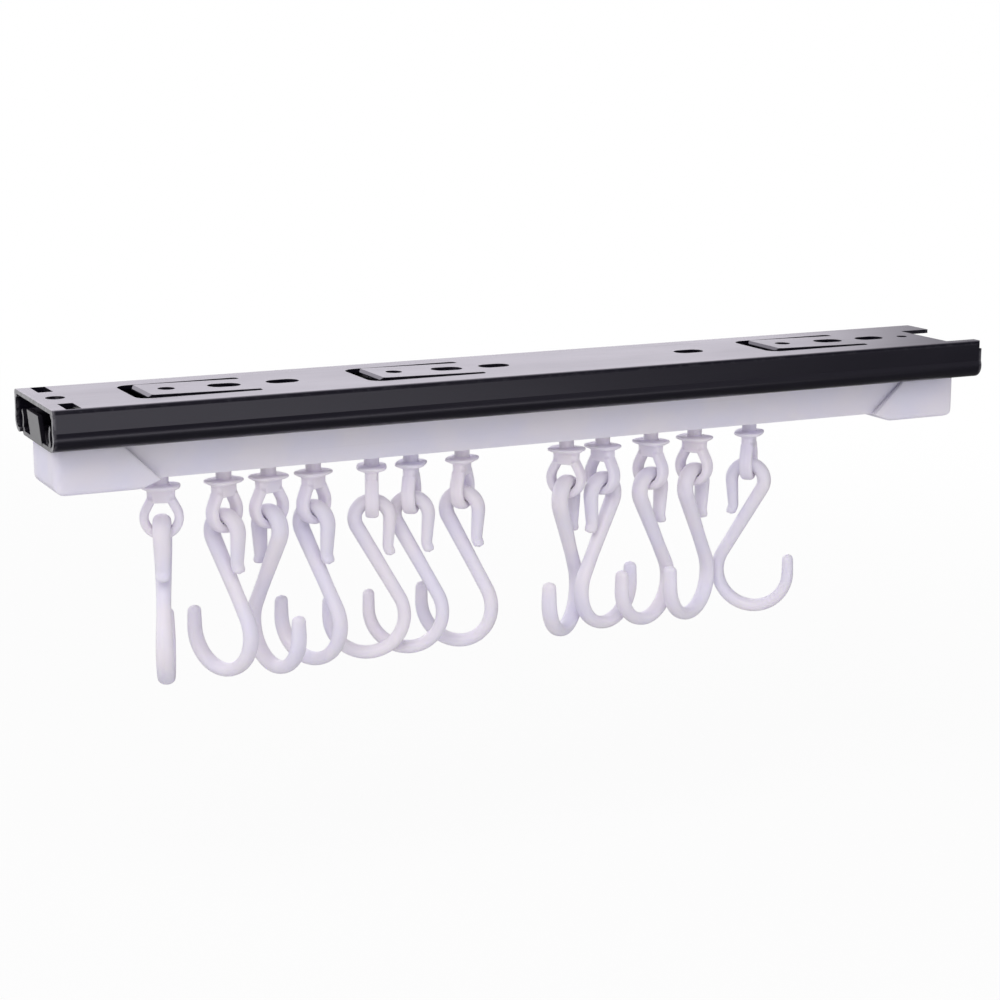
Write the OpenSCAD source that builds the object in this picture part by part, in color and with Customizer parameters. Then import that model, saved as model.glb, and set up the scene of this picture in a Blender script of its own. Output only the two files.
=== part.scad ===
/* [Slide] */
// Length of the fixed outer slide member
slide_len = 300; // [290:1:400]
// Width of the outer slide member over its ball races
slide_w = 42; // [40:0.5:50]
// Steel thickness of the outer and the inner member
steel_t = 1.2; // [0.9:0.1:1.4]
// How far the flange walls stand in from the widest point of the races
waist = 0.35; // [0.1:0.05:0.8]
// Depth of the ball centres below the mounting face
ball_drop = 7.9; // [7.7:0.1:9]
// Diameter of the bearing balls
ball_d = 5; // [4.4:0.1:5.4]
// Gap between a ball and its races
race_gap = 0.1; // [0.05:0.01:0.2]
// Angle at which the outer races end, past the lowest point of the balls
outer_lip_angle = 105; // [95:1:115]
// Angle at which the inner races end, above the level of the balls
inner_lip_angle = 52; // [40:1:60]
// Distance from the ball centres in to the walls of the inner member
inner_wall_in = 2.1; // [1.9:0.1:2.3]
// Depth of the inner member's underside below the mounting face
inner_drop = 12.2; // [12:0.1:13.5]

/* [Outer member cut-outs] */
// Distances of the first mounting slots from the front end
slot_in_front = [71.8, 138.2]; // [60:0.1:145]
// Distances of the other mounting slots from the rear end
slot_in_rear = [95.4, 29]; // [20:0.1:110]
// Overall length of a mounting slot
slot_len = 9.6; // [7:0.1:12]
// Width of a mounting slot
slot_w = 6.2; // [4:0.1:7]
// Distances of the first tongues' free ends from the front end
tongue_in_front = [30, 98.5]; // [20:0.1:110]
// Distance of the last tongue's free end from the rear end
tongue_in_rear = 69; // [60:0.1:75]
// Length of a tongue
tongue_len = 32; // [28:0.5:36]
// Width of a tongue
tongue_w = 18.6; // [14:0.2:20]
// Width of the cut beside a tongue
tongue_cut = 2.8; // [1.5:0.1:4]
// Width of the cut at a tongue's free end
tongue_end_cut = 4; // [2:0.1:6]
// Height of a tongue's free end above the mounting face
tongue_rise = 0.45; // [0.2:0.05:1.2]
// Bevel on the upper edge of a tongue's free end
tongue_bevel = 0.8; // [0.2:0.1:1]
// Diameter of the round hole in a tongue
tongue_hole_d = 4.8; // [4:0.1:7]
// Distance of the round hole from a tongue's free end
tongue_hole_in = 7.6; // [6:0.1:10]
// Distance of the slot's middle from a tongue's free end
tongue_slot_in = 24.4; // [20:0.1:25]
// Diameter of the round hole at the front end
front_hole_d = 5.4; // [4:0.1:7]
// Distance of the front holes from the front end
front_holes_in = 6.2; // [5:0.1:10]
// Length of a front window along the slide
window_len = 4.2; // [3:0.1:6]
// Width of a front window across the slide
window_w = 9.4; // [6:0.1:11]
// Distance of a front window from the centreline
window_y = 14.8; // [12:0.1:15]
// Distance of the small pilot hole from the rear end
pilot_in_rear = 17.2; // [14:0.1:22]
// Diameter of the pilot hole
pilot_d = 3.4; // [2:0.1:4]
// Depth of the notch in the web at the rear end
notch_len = 10.5; // [8:0.5:14]
// Edge of the notch on its narrow side
notch_y_near = 16.4; // [12:0.2:18]
// Edge of the notch on its wide side
notch_y_far = 8.5; // [5:0.2:14]
// Length of the stop tab that is bent down at the notch
stop_len = 8.4; // [5:0.1:9]
// Radius of the rear corner of the web
corner_r = 1.6; // [0.5:0.1:3]

/* [Pull-out member] */
// Distance of the inner member's front edge in from the outer member's front end
inner_front_in = 0.6; // [0:0.1:3]
// Gap between the inner member's rear edge and the stop tab
inner_stop_gap = 0.5; // [0.3:0.1:2]
// Width of the tab at the front of the inner member
tab_w = 12; // [8:0.5:16]
// Height of the front tab above the inner member's underside
tab_h = 8.6; // [6:0.1:9.5]
// Lean of the front tab away from the slide
tab_lean = 6; // [0:1:12]
// Travel of the pull-out member
travel = 200; // [150:1:210]
// Thickness of the ball cage
cage_t = 0.6; // [0.4:0.1:0.8]
// Length of the ball cage
cage_len = 86; // [60:1:88]
// Number of balls on each side
ball_count = 6; // [4:1:8]

/* [Track] */
// Length of the track with its end caps
track_span = 294.4; // [280:0.2:300]
// Distance of the front cap's outer end from the slide's front end
track_front_in = 2; // [0:0.1:6]
// Height of the track section
track_h = 10.6; // [9:0.1:13]
// Width of the track at its top
track_top_w = 21.2; // [20:0.1:22]
// Width of the track at its underside
track_low_w = 18.4; // [17:0.1:20]
// Thickness of the lips that carry the runners
lip_t = 2; // [1.4:0.1:3]
// Thickness of the track's roof
roof_t = 3.2; // [2:0.1:4]
// Width of the channel inside the track
channel_w = 13; // [12:0.1:14]
// Width of the slot between the lips
slot_gap_w = 5.3; // [5:0.1:6]
// Length of an end cap along its underside
cap_len = 30; // [26:0.5:32]
// Width of an end cap
cap_w = 24; // [23:0.1:26]
// Depth of an end cap below the underside of the track
cap_drop = 2.5; // [1:0.1:3]
// Length of the ramp from the track down to an end cap's underside
cap_ramp = 6; // [2:0.1:8]
// Length of the track that an end cap holds
cap_hold = 13; // [12.5:0.5:15]
// Radius of an end cap's corners seen from above
cap_corner_r = 2.2; // [1:0.1:8]
// Radius of an end cap's lower edges
cap_edge_r = 1.6; // [0.5:0.1:3]
// Radius of the lower edge of an end cap's outer end
cap_end_r = 3.2; // [1:0.1:5]
// Clearance between the track and an end cap
cap_fit = 0.1; // [0.05:0.01:0.2]
// Diameter of the cap screws
screw_d = 3; // [2.5:0.1:4]
// Diameter of a cap screw's head
screw_head_d = 6; // [5:0.1:7]
// Height of a cap screw's head
screw_head_h = 2; // [1.5:0.1:3]
// Width of the hexagon socket in a cap screw's head
screw_key_w = 2.6; // [2:0.1:3]
// Depth of the hexagon socket
screw_key_h = 1.2; // [0.8:0.1:1.6]
// Thickness of the cap above a screw's head
screw_seat_t = 4.6; // [3:0.1:6]

/* [Gliders] */
// Distances of the gliders from the slide's front end
glider_in = [35.1, 53.6, 67, 80.7, 98.8, 111.3, 127.8, 162.6, 175, 191.8, 207.3, 227.1]; // [35:0.1:262]
// Direction that each hook faces, seen from above
hook_yaw = [71, 117, -74, 119, 158, 145, 135, -139, 20, -158, -151, -42]; // [-180:1:180]
// Length of a runner
runner_len = 10.2; // [9.9:0.1:10.8]
// Clearance between a runner and the channel on each side
runner_gap = 0.2; // [0.1:0.05:0.4]
// Diameter of an eyelet's neck
neck_d = 4.5; // [4:0.1:4.6]
// Radial clearance of the neck in the runner
neck_fit = 0.08; // [0.04:0.01:0.1]
// Diameter of the button head on the neck
button_d = 8; // [7:0.1:8.4]
// Thickness of the button head
button_t = 1.4; // [1:0.1:1.8]
// Clearance round the button head
button_gap = 0.2; // [0.1:0.05:0.3]
// Depth of the flange's top below the track
flange_drop = 3.9; // [2.5:0.1:6]
// Thickness of the flange
flange_t = 1.4; // [1:0.1:2.4]
// Width of the flange in the plane of the eyelet
flange_w = 11; // [10:0.1:12]
// Depth of the flange across the eyelet
flange_d = 8.8; // [7:0.1:9.4]
// Radius of the flange's corners
flange_r = 2.6; // [1:0.1:3]
// Width of the eyelet's shoulder under the flange
shoulder_w = 7.9; // [7:0.1:9]
// Height of the shoulder
shoulder_h = 3.7; // [2.5:0.1:5]
// Height of the eyelet's opening
eye_h = 7.95; // [7.7:0.05:9]
// Radius of the opening's lower end
eye_r = 3.6; // [3.5:0.05:4.2]
// Width of the bar round the opening
eye_bar = 2.6; // [2.2:0.1:3]
// Thickness of the eyelet
eye_t = 4; // [3.4:0.1:4.2]
// Lean of the eyelet's upper sides
eye_lean = 28; // [22:1:32]

/* [Hooks] */
// Gap between the eyelet's bar and the inside of a hook's arch
hang_gap = 0.35; // [0.3:0.05:0.5]
// Inner radius of the arch
arch_r = 3; // [2.9:0.05:3.4]
// Width of the hook at its arch
hook_w = 4.3; // [3.8:0.1:4.6]
// Width of the hook at its lower bend
bend_w = 3.9; // [3.4:0.1:4.4]
// Width of the hook at its tips
tip_w = 3.5; // [3:0.1:4]
// Flat by which the hook's thickness exceeds its width
hook_flat = 0.9; // [0.4:0.1:1.2]
// Lean of the stem from upright
stem_lean = 30; // [24:0.5:34]
// Length of the straight stem
stem_len = 24.6; // [20:0.1:30]
// Inner radius of the lower bend
bend_r = 9.3; // [7:0.1:11]
// Length of the straight tip
tip_len = 4.4; // [2:0.1:8]
// Length of the short leg
leg_len = 9.4; // [6:0.1:12]
// Lean of the short leg towards the stem
leg_lean = 4; // [0:1:8]
// Length of the small foot that turns out at the short leg's end
foot_len = 1.2; // [0.6:0.1:2]

/* [Hidden] */
$fn = 48;

// Slide: ends, balls and races
front_x = -slide_len / 2;
rear_x = slide_len / 2;
slot_x = concat([for (d = slot_in_front) front_x + d], [for (d = slot_in_rear) rear_x - d]);
tongue_x = concat([for (d = tongue_in_front) front_x + d], [rear_x - tongue_in_rear]);
glider_x = [for (d = glider_in) front_x + d];
race_r = ball_d / 2 + race_gap;
race_out = race_r + steel_t;
ball_y = slide_w / 2 - race_out;
wall_y = slide_w / 2 - waist;
race_top_angle = acos((wall_y - steel_t - ball_y) / race_r);
wall_low_z = -ball_drop + race_r * sin(race_top_angle) + 0.1;
race_seam = 4;
inner_wall_y = ball_y - inner_wall_in;
inner_wall_top = -ball_drop - sqrt(race_r * race_r - inner_wall_in * inner_wall_in) - 0.1;
notch_x = rear_x - notch_len;
tongue_root = 0.8;
inner_front = front_x + inner_front_in;
inner_rear = notch_x - steel_t - inner_stop_gap;

// Ball cage: it moves half as far as the pull-out member
cage_gap = 0.7;
cage_top = -steel_t - cage_gap;
cage_x = (front_x + travel / 2 + inner_rear - travel / 2 - cage_len) / 2;
ball_pitch = (cage_len - 2 * ball_d) / (ball_count - 1);

// Track and caps
track_x = front_x + track_front_in;
track_rear = track_x + track_span;
track_z = -inner_drop;
track_low = track_z - track_h;
channel_low = track_low + lip_t;
channel_top = track_z - roof_t;
cap_screw_in = (cap_len - cap_hold) / 2;
cap_low = track_low - cap_drop;
screw_seat = track_z - screw_seat_t;

// Gliders
runner_low = channel_low + runner_gap;
runner_top = channel_top - runner_gap;
button_top = runner_top - button_gap;
button_low = button_top - button_t;
flange_top = track_low - flange_drop;
flange_low = flange_top - flange_t;
eye_top = flange_low - shoulder_h;
eye_low = eye_top - eye_h;
ring_r = eye_r + eye_bar / 2;
ring_z = eye_low + eye_r;

// Hooks: the arch's centre is the point about which a hook swings
hook_pivot_z = eye_low + hang_gap - arch_r;
arch_mid = arch_r + hook_w / 2;
bend_mid = bend_r + bend_w / 2;
leg_top = arch_mid * [-cos(leg_lean), -sin(leg_lean)];
leg_end = leg_top + leg_len * [sin(leg_lean), -cos(leg_lean)];
stem_top = arch_mid * [cos(stem_lean), -sin(stem_lean)];
stem_end = stem_top + stem_len * [-sin(stem_lean), -cos(stem_lean)];
bend_centre = stem_end + bend_mid * [cos(stem_lean), -sin(stem_lean)];
tip_low = bend_centre + [bend_mid, 0];
tip_end = tip_low + [0, tip_len];

// Cross-section of a hook of width w
function section(w) = PI * w * w / 4 + w * hook_flat;

// Mass and moments of a straight stretch and of an arc
function run_part(p, q, w) = let (m = norm(q - p) * section(w)) [m, m * (p + q) / 2];
function arc_part(c, r, a, b, w) =
    let (m = r * (b - a) * PI / 180 * section(w), reach = r * sin((b - a) / 2) / ((b - a) * PI / 360))
    [m, m * (c + reach * [cos((a + b) / 2), sin((a + b) / 2)])];

hook_parts = [
    run_part(leg_end, leg_top, (hook_w + tip_w) / 2),
    arc_part([0, 0], arch_mid, -stem_lean, 180 + leg_lean, hook_w),
    run_part(stem_top, stem_end, (hook_w + bend_w) / 2),
    arc_part(bend_centre, bend_mid, 180 - stem_lean, 360, bend_w),
    run_part(tip_low, tip_end, (bend_w + tip_w) / 2)
];
hook_mass = [for (p = hook_parts) p[0]] * [1, 1, 1, 1, 1];
hook_moment = [1, 1, 1, 1, 1] * [for (p = hook_parts) p[1]];
// Turn that brings the hook's centre of mass below the arch's centre
hang_turn = -90 - atan2(hook_moment[1] / hook_mass, hook_moment[0] / hook_mass);

// Extrude a section drawn across the slide, from x for a length
module along_x(x, length) {
    translate([x, 0, 0]) rotate([90, 0, 90]) linear_extrude(length) children();
}

// Draw something and its mirror image on the other side of the slide
module both_sides() {
    children();
    mirror([1, 0, 0]) children();
}

// Part of a ring between two angles, at most 180 degrees apart
module ring_part(r_in, r_out, from, to) {
    reach = 2 * r_out;
    intersection() {
        difference() {
            circle(r_out);
            circle(r_in);
        }
        polygon([[0, 0], for (i = [0:4]) reach * [cos(from + (to - from) * i / 4), sin(from + (to - from) * i / 4)]]);
    }
}

module rounded_rect(w, d, r) {
    square([w - 2 * r, d], center = true);
    square([w, d - 2 * r], center = true);
    for (x = [-1, 1], y = [-1, 1]) {
        translate([x * (w / 2 - r), y * (d / 2 - r)]) circle(r);
    }
}

module slot_shape(length, w) {
    square([length - w, w], center = true);
    for (x = [-1, 1]) {
        translate([x * (length - w) / 2, 0]) circle(w / 2);
    }
}

// Section of the outer member: web, walls and the races that curl round the balls
module outer_section() {
    translate([-(wall_y - steel_t), -steel_t]) square([2 * (wall_y - steel_t), steel_t]);
    both_sides() {
        translate([wall_y - steel_t, -steel_t]) circle(steel_t);
        translate([wall_y - steel_t, wall_low_z]) square([steel_t, -steel_t - wall_low_z]);
        translate([ball_y, -ball_drop]) ring_part(race_r, race_out, -outer_lip_angle, race_top_angle + race_seam);
    }
}

// Section of the inner member: web below, walls and races that face outwards
module inner_section() {
    translate([-(inner_wall_y - steel_t), -inner_drop]) square([2 * (inner_wall_y - steel_t), steel_t]);
    both_sides() {
        translate([inner_wall_y - steel_t, -inner_drop + steel_t]) circle(steel_t);
        translate([inner_wall_y - steel_t, -inner_drop + steel_t])
            square([steel_t, inner_wall_top + inner_drop - steel_t]);
        translate([ball_y, -ball_drop])
            ring_part(race_r, race_out, 180 - inner_lip_angle, 180 + acos(inner_wall_in / race_r) + race_seam);
    }
}

// One tongue seen from above, with its free end at x = 0 and its root sunk into the web
module tongue_plan() {
    corner = 2;
    difference() {
        union() {
            translate([corner, -tongue_w / 2]) square([tongue_len + tongue_root - corner, tongue_w]);
            translate([0, -tongue_w / 2 + corner]) square([corner + 0.1, tongue_w - 2 * corner]);
            for (y = [-1, 1]) {
                translate([corner, y * (tongue_w / 2 - corner)]) circle(corner);
            }
        }
        translate([tongue_hole_in, 0]) circle(tongue_hole_d / 2);
        translate([tongue_slot_in, 0]) slot_shape(slot_len, slot_w);
    }
}

// Side view of a tongue: it is bent up a little in front of its root, and its free end is bevelled
module tongue_side() {
    bend = tongue_len - tongue_root;
    bevel_top = tongue_rise * (1 - tongue_bevel / bend);
    polygon([
        [0, tongue_rise - tongue_bevel], [tongue_bevel, bevel_top], [bend, 0], [tongue_len + tongue_root, 0],
        [tongue_len + tongue_root, -steel_t], [bend, -steel_t], [0, tongue_rise - steel_t]
    ]);
}

module tongue(x) {
    translate([x, 0, 0]) intersection() {
        translate([0, 0, -2 * steel_t]) linear_extrude(3 * steel_t + tongue_rise) tongue_plan();
        rotate([90, 0, 0]) linear_extrude(tongue_w + 2, center = true) tongue_side();
    }
}

// Opening in the web that leaves the tongue standing in its middle
module tongue_opening(x) {
    length = tongue_len + tongue_end_cut;
    w = tongue_w + 2 * tongue_cut;
    translate([x + (tongue_len - tongue_end_cut) / 2, 0, 0]) linear_extrude(4 * steel_t, center = true) {
        intersection() {
            rounded_rect(length, w, 0.45 * tongue_cut);
            translate([5, 0]) rounded_rect(length + 10, w, 4);
        }
    }
}

module outer_member() {
    color([0.16, 0.155, 0.18]) {
        difference() {
            along_x(front_x, slide_len) outer_section();
            for (x = slot_x) {
                translate([x, 0, 0]) linear_extrude(4 * steel_t, center = true) slot_shape(slot_len, slot_w);
            }
            for (x = tongue_x) {
                tongue_opening(x);
            }
            front_cuts();
            rear_cuts();
        }
        for (x = tongue_x) {
            tongue(x);
        }
        stop_tab();
    }
}

module front_cuts() {
    translate([front_x + front_holes_in, 0, -2 * steel_t]) cylinder(d = front_hole_d, h = 4 * steel_t);
    for (y = [-1, 1]) {
        translate([front_x + front_holes_in, y * window_y, 0])
            cube([window_len, window_w, 3 * steel_t], center = true);
    }
}

module rear_cuts() {
    translate([rear_x - pilot_in_rear, -1.4, -2 * steel_t]) cylinder(d = pilot_d, h = 4 * steel_t);
    translate([notch_x, -notch_y_near, -1.5 * steel_t])
        cube([notch_len + 1, notch_y_near + notch_y_far, 3 * steel_t]);
    for (y = [-1, 1]) {
        translate([rear_x, y * wall_y, 0]) corner_cut(y);
    }
}

// Square block less a quarter round, for the web's two rear corners
module corner_cut(side) {
    difference() {
        translate([-corner_r, side > 0 ? -corner_r : -1, -2 * steel_t])
            cube([corner_r + 1, corner_r + 1, 2 * steel_t + 1]);
        translate([-corner_r, -side * corner_r, -3 * steel_t]) cylinder(r = corner_r, h = 4 * steel_t);
    }
}

// Stop for the pull-out member, bent down from the notch
module stop_tab() {
    relief = 1;
    translate([notch_x - steel_t, -notch_y_near + relief, -stop_len - steel_t / 2])
        cube([steel_t, notch_y_near + notch_y_far - 2 * relief, stop_len]);
}

module inner_member() {
    color([0.53, 0.51, 0.54]) {
        difference() {
            along_x(inner_front, inner_rear - inner_front) inner_section();
            for (x = cap_screw_x) {
                translate([x, 0, -inner_drop - 1]) cylinder(d = screw_d + 0.1, h = steel_t + 2);
            }
        }
        front_tab();
    }
}

// Tab bent up from the web at the front
module front_tab() {
    translate([inner_front, 0, -inner_drop]) rotate([0, -tab_lean, 0])
        translate([0, -tab_w / 2, 0]) cube([steel_t, tab_w, tab_h]);
}

cap_screw_x = [track_x + cap_screw_in, track_rear - cap_screw_in];

module ball_cage() {
    low = -ball_drop - race_r + 0.5;
    cage_w = 2 * ball_y + cage_t;
    color([0.62, 0.62, 0.64]) {
        difference() {
            along_x(cage_x, cage_len) {
                difference() {
                    translate([-cage_w / 2, low]) square([cage_w, cage_top - low]);
                    translate([-cage_w / 2 + cage_t, low - 1]) square([cage_w - 2 * cage_t, cage_top - low - cage_t + 1]);
                }
            }
            for (i = [0:ball_count - 1]) {
                translate([cage_x + ball_d + i * ball_pitch, 0, -ball_drop]) rotate([90, 0, 0])
                    cylinder(d = ball_d + 0.2, h = slide_w, center = true);
            }
        }
    }
}

module bearing_balls() {
    color([0.75, 0.75, 0.77]) {
        for (i = [0:ball_count - 1], side = [-1, 1]) {
            translate([cage_x + ball_d + i * ball_pitch, side * ball_y, -ball_drop]) sphere(d = ball_d);
        }
    }
}

// Outline of the track's section, grown by a clearance
module track_outline(grow = 0) {
    top = track_top_w / 2 + grow;
    low = track_low_w / 2 + grow;
    polygon([[-top, track_z], [top, track_z], [low, track_low - grow], [-low, track_low - grow]]);
}

module track() {
    color([0.9, 0.89, 0.92]) {
        along_x(track_x + cap_len - cap_hold, track_span - 2 * (cap_len - cap_hold)) {
            difference() {
                track_outline();
                translate([-channel_w / 2, channel_low]) square([channel_w, channel_top - channel_low]);
                translate([-slot_gap_w / 2, track_low - 1]) square([slot_gap_w, lip_t + 1.1]);
            }
        }
    }
}

// Front cap in place; the rear cap is its mirror image
module cap_solid() {
    slope_x = track_x + cap_len;
    intersection() {
        translate([track_x, 0, cap_low - 1]) linear_extrude(track_h + cap_drop + 1) cap_plan();
        translate([0, cap_w, 0]) rotate([90, 0, 0]) linear_extrude(2 * cap_w) cap_side(slope_x);
        along_x(track_x - 1, cap_len + 2) cap_front();
    }
}

module cap_plan() {
    translate([cap_corner_r, -cap_w / 2]) square([cap_len, cap_w]);
    translate([0, -cap_w / 2 + cap_corner_r]) square([cap_corner_r + 0.1, cap_w - 2 * cap_corner_r]);
    for (y = [-1, 1]) {
        translate([cap_corner_r, y * (cap_w / 2 - cap_corner_r)]) circle(cap_corner_r);
    }
}

// Side view of the cap: its inner end slopes at 45 degrees and its lower outer edge is round
module cap_side(slope_x) {
    difference() {
        polygon([
            [track_x, track_z], [slope_x - track_h, track_z], [slope_x, track_low],
            [slope_x - cap_ramp, cap_low], [track_x, cap_low]
        ]);
        difference() {
            translate([track_x - 1, cap_low - 1]) square(cap_end_r + 1);
            translate([track_x + cap_end_r, cap_low + cap_end_r]) circle(cap_end_r);
        }
    }
}

// Front view of the cap, with round lower edges
module cap_front() {
    translate([-cap_w / 2, cap_low + cap_edge_r]) square([cap_w, track_z - cap_low - cap_edge_r]);
    translate([-cap_w / 2 + cap_edge_r, cap_low]) square([cap_w - 2 * cap_edge_r, cap_edge_r + 0.1]);
    for (y = [-1, 1]) {
        translate([y * (cap_w / 2 - cap_edge_r), cap_low + cap_edge_r]) circle(cap_edge_r);
    }
}

module end_cap() {
    color([0.91, 0.9, 0.93]) {
        difference() {
            cap_solid();
            along_x(track_x + cap_len - cap_hold - cap_fit, cap_hold + cap_fit + 1) track_outline(cap_fit);
            translate([track_x + cap_screw_in, 0, cap_low - 1]) {
                cylinder(d = screw_d + 0.3, h = track_h + cap_drop + 2);
                cylinder(d = screw_head_d + 0.6, h = screw_seat - cap_low + 1);
            }
        }
    }
}

module front_cap() {
    end_cap();
}

module rear_cap() {
    translate([track_x + track_rear, 0, 0]) mirror([1, 0, 0]) end_cap();
}

module cap_screws() {
    color([0.7, 0.7, 0.72]) {
        for (x = cap_screw_x) {
            translate([x, 0, screw_seat - screw_head_h]) {
                difference() {
                    cylinder(d = screw_head_d, h = screw_head_h);
                    translate([0, 0, -0.1]) cylinder(d = screw_key_w, h = screw_key_h + 0.1, $fn = 6);
                }
                translate([0, 0, screw_head_h - 0.1]) cylinder(d = screw_d, h = track_z + steel_t - screw_seat + 1.1);
            }
        }
    }
}

// Runner that slides in the channel; the eyelet's button turns in its pocket
module runner(i) {
    h = runner_top - runner_low;
    color([0.86, 0.86, 0.89]) {
        translate([glider_x[i], 0, runner_low]) {
            difference() {
                linear_extrude(h) rounded_rect(runner_len, channel_w - 2 * runner_gap, 1.5);
                translate([0, 0, -1]) cylinder(r = neck_d / 2 + neck_fit, h = h + 2);
                translate([0, 0, button_low - button_gap - runner_low]) cylinder(d = button_d + 2 * button_gap, h = h);
            }
        }
    }
}

// Bar of a rounded section bent to an arc in the upright plane, about the origin
module bar_arc(r, from, to, w, flat) {
    rotate([90, 0, 0]) rotate([0, 0, from]) rotate_extrude(angle = to - from)
        translate([r, 0]) bar_section(w, flat);
}

module bar_section(w, flat) {
    square([w, flat], center = true);
    for (y = [-1, 1]) {
        translate([0, y * flat / 2]) circle(w / 2);
    }
}

// Straight bar between two points of the upright plane, tapering from w1 to w2.
// Its ends sink a little into the bars that it meets.
module bar_run(p, q, w1, w2, flat) {
    sink = 0.15;
    r1 = w1 / 2 - 0.01;
    r2 = w2 / 2 - 0.01;
    length = norm(q - p) + 2 * sink;
    translate([p[0], 0, p[1]]) rotate([0, atan2(q[0] - p[0], q[1] - p[1]), 0]) translate([0, 0, -sink]) {
        for (y = [-1, 1]) {
            translate([0, y * flat / 2, 0]) cylinder(r1 = r1, r2 = r2, h = length);
        }
        rotate([90, 0, 0]) linear_extrude(flat, center = true)
            polygon([[-r1, 0], [r1, 0], [r2, length], [-r2, length]]);
    }
}

// Round end of a bar
module bar_end(p, w, flat) {
    translate([p[0], 0, p[1]]) {
        rotate([90, 0, 0]) cylinder(d = w, h = flat, center = true);
        for (y = [-1, 1]) {
            translate([0, y * flat / 2, 0]) sphere(d = w);
        }
    }
}

// Eyelet: button, neck, flange, shoulder and ring in one piece
module eyelet(i) {
    side_foot = ring_r * [cos(eye_lean), sin(eye_lean)];
    side_len = (eye_top + 0.3 - ring_z - side_foot[1]) / cos(eye_lean);
    side_top = side_foot + side_len * [-sin(eye_lean), cos(eye_lean)];
    color([0.87, 0.86, 0.89]) {
        translate([glider_x[i], 0, 0]) rotate([0, 0, hook_yaw[i] + 90]) {
            translate([0, 0, button_low]) cylinder(d = button_d, h = button_t);
            translate([0, 0, flange_top - 0.1]) cylinder(d = neck_d, h = button_low - flange_top + 0.2);
            translate([0, 0, flange_low]) linear_extrude(flange_t) rounded_rect(flange_w, flange_d, flange_r);
            translate([0, 0, eye_top]) linear_extrude(shoulder_h + 0.1) rounded_rect(shoulder_w, eye_t, 1);
            translate([0, 0, ring_z]) {
                bar_arc(ring_r, 180 - eye_lean, 360 + eye_lean, eye_bar, eye_t - eye_bar);
                bar_run(side_foot, side_top, eye_bar, eye_bar, eye_t - eye_bar);
                mirror([1, 0, 0]) bar_run(side_foot, side_top, eye_bar, eye_bar, eye_t - eye_bar);
            }
        }
    }
}

// Hook, drawn with the arch's centre at the origin and turned to hang at rest
module hook_shape() {
    rotate([0, -hang_turn, 0]) {
        bar_arc(arch_mid, -stem_lean, 180 + leg_lean, hook_w, hook_flat);
        bar_run(leg_top, leg_end, hook_w, tip_w, hook_flat);
        bar_run(stem_top, stem_end, hook_w, bend_w, hook_flat);
        translate([bend_centre[0], 0, bend_centre[1]])
            bar_arc(bend_mid, 180 - stem_lean, 360, bend_w, hook_flat);
        bar_run(tip_low, tip_end, bend_w, tip_w, hook_flat);
        bar_end(tip_end, tip_w, hook_flat);
        bar_end(leg_end, tip_w, hook_flat);
        bar_end(leg_end - [foot_len, 0.2], tip_w * 0.8, hook_flat);
        bar_run(leg_end, leg_end - [foot_len, 0.2], tip_w * 0.8, tip_w * 0.8, hook_flat);
    }
}

module hook(i) {
    color([0.88, 0.87, 0.91]) {
        translate([glider_x[i], 0, hook_pivot_z]) rotate([0, 0, hook_yaw[i]]) hook_shape();
    }
}

outer_member();
inner_member();
ball_cage();
bearing_balls();
track();
front_cap();
rear_cap();
cap_screws();
runner(0);  // runner_01
runner(1);  // runner_02
runner(2);  // runner_03
runner(3);  // runner_04
runner(4);  // runner_05
runner(5);  // runner_06
runner(6);  // runner_07
runner(7);  // runner_08
runner(8);  // runner_09
runner(9);  // runner_10
runner(10);  // runner_11
runner(11);  // runner_12
eyelet(0);  // eyelet_01
eyelet(1);  // eyelet_02
eyelet(2);  // eyelet_03
eyelet(3);  // eyelet_04
eyelet(4);  // eyelet_05
eyelet(5);  // eyelet_06
eyelet(6);  // eyelet_07
eyelet(7);  // eyelet_08
eyelet(8);  // eyelet_09
eyelet(9);  // eyelet_10
eyelet(10);  // eyelet_11
eyelet(11);  // eyelet_12
hook(0);  // hook_01
hook(1);  // hook_02
hook(2);  // hook_03
hook(3);  // hook_04
hook(4);  // hook_05
hook(5);  // hook_06
hook(6);  // hook_07
hook(7);  // hook_08
hook(8);  // hook_09
hook(9);  // hook_10
hook(10);  // hook_11
hook(11);  // hook_12
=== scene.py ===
import logging
import math
from dataclasses import dataclass
from enum import Enum
from typing import Any, Mapping, Sequence, Union

import bmesh
import bpy
import numpy as np
from mathutils import Euler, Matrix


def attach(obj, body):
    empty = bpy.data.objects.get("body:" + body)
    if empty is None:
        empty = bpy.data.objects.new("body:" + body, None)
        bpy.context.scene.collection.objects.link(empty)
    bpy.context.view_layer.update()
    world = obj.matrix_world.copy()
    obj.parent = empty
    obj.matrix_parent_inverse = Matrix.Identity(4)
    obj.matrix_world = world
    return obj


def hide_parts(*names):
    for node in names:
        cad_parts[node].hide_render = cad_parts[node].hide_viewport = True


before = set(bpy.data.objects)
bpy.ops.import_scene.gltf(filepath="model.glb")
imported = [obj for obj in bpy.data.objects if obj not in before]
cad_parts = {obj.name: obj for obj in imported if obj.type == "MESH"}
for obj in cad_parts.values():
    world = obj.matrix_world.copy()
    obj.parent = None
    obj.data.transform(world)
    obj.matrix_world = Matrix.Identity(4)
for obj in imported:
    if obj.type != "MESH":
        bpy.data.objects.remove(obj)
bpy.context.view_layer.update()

log = logging.getLogger("hook rail")
MM = 0.001
WELD = 0.001 * MM
SEAM = "mm_from_seam"
Colour = tuple[float, float, float]
Value = Union["Wire", float, Sequence[float]]


def linear(red: float, green: float, blue: float) -> Colour:
    """Turn a colour as seen on a screen, 0 to 255, into linear light.

    Args:
        red, green, blue: the screen values.

    Returns:
        The three linear values, from the screen curve (c / 255) ** 2.2.
    """
    return tuple(round((c / 255.0) ** 2.2, 5) for c in (red, green, blue))


# Shader expressions


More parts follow.
